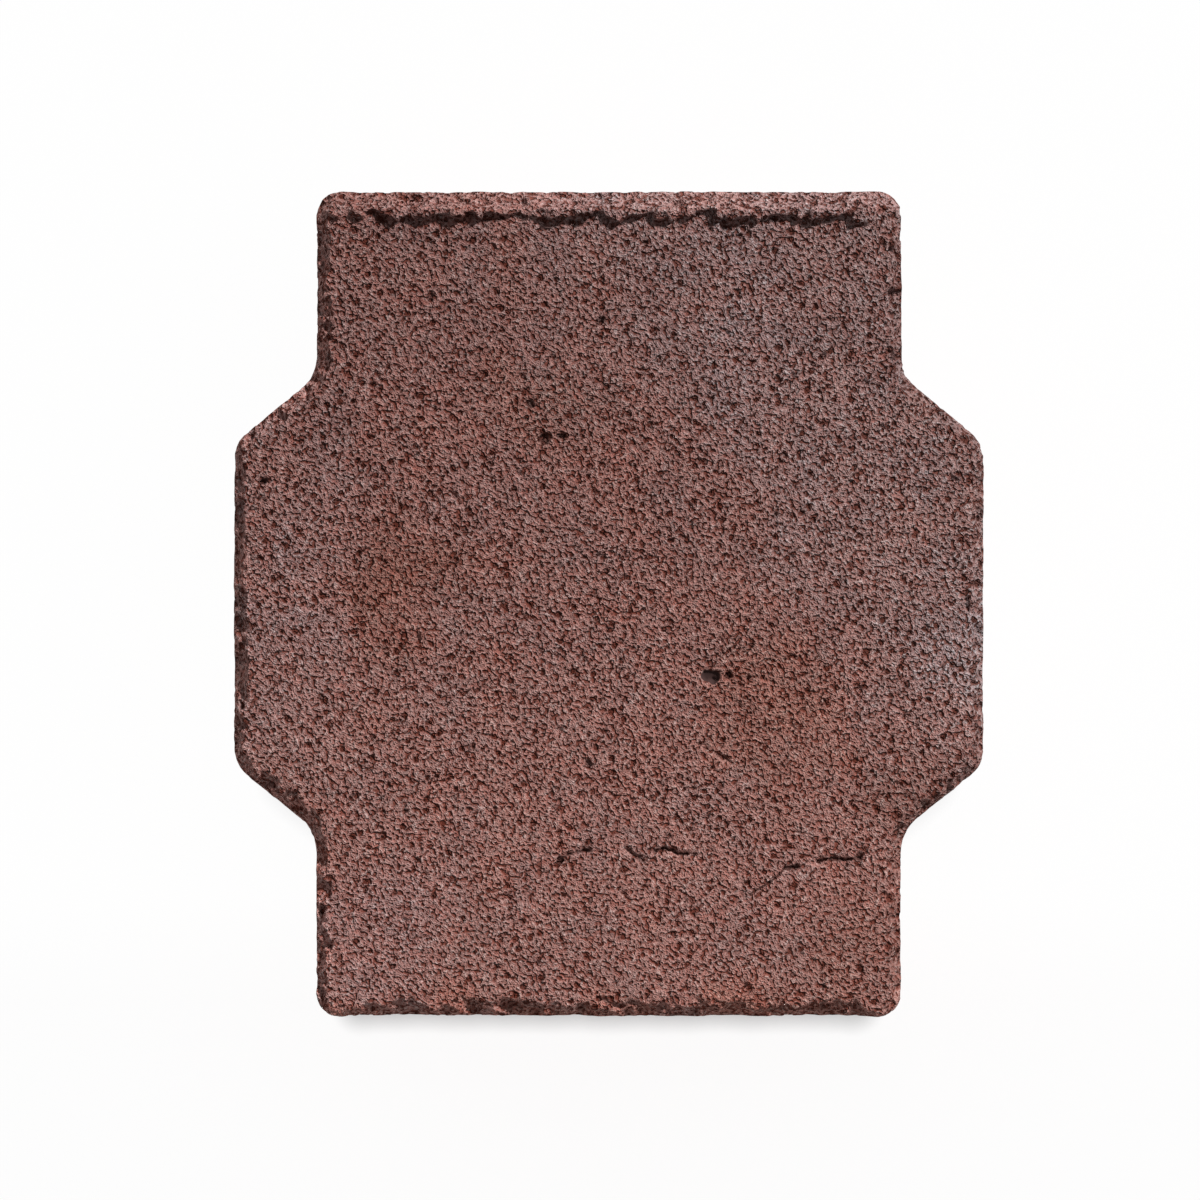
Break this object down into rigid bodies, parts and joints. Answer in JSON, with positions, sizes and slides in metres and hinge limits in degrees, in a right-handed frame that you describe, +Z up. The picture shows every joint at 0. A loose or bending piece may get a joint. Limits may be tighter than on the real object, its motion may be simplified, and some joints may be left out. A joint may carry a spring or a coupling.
{
  "type": "concrete paving stone",
  "caption": "Cross-shaped interlocking concrete paver, broad in the middle and narrower at both ends, with a chamfered wearing face, a rough open surface and a pressed lip along one end.",
  "frame": {"origin": "middle of the bed face, on the level floor that the stone lies on", "axes": "+Z up out of the wearing face, +Y along the length towards the end with the lip, +X across the broad middle"},
  "size_m": [0.2, 0.22, 0.0816],
  "materials": {
    "concrete": "rough, open-pored, reddish-brown pigmented concrete"
  },
  "bodies": {
    "root": {"paving_stone": "concrete"}
  },
  "joints": []
}
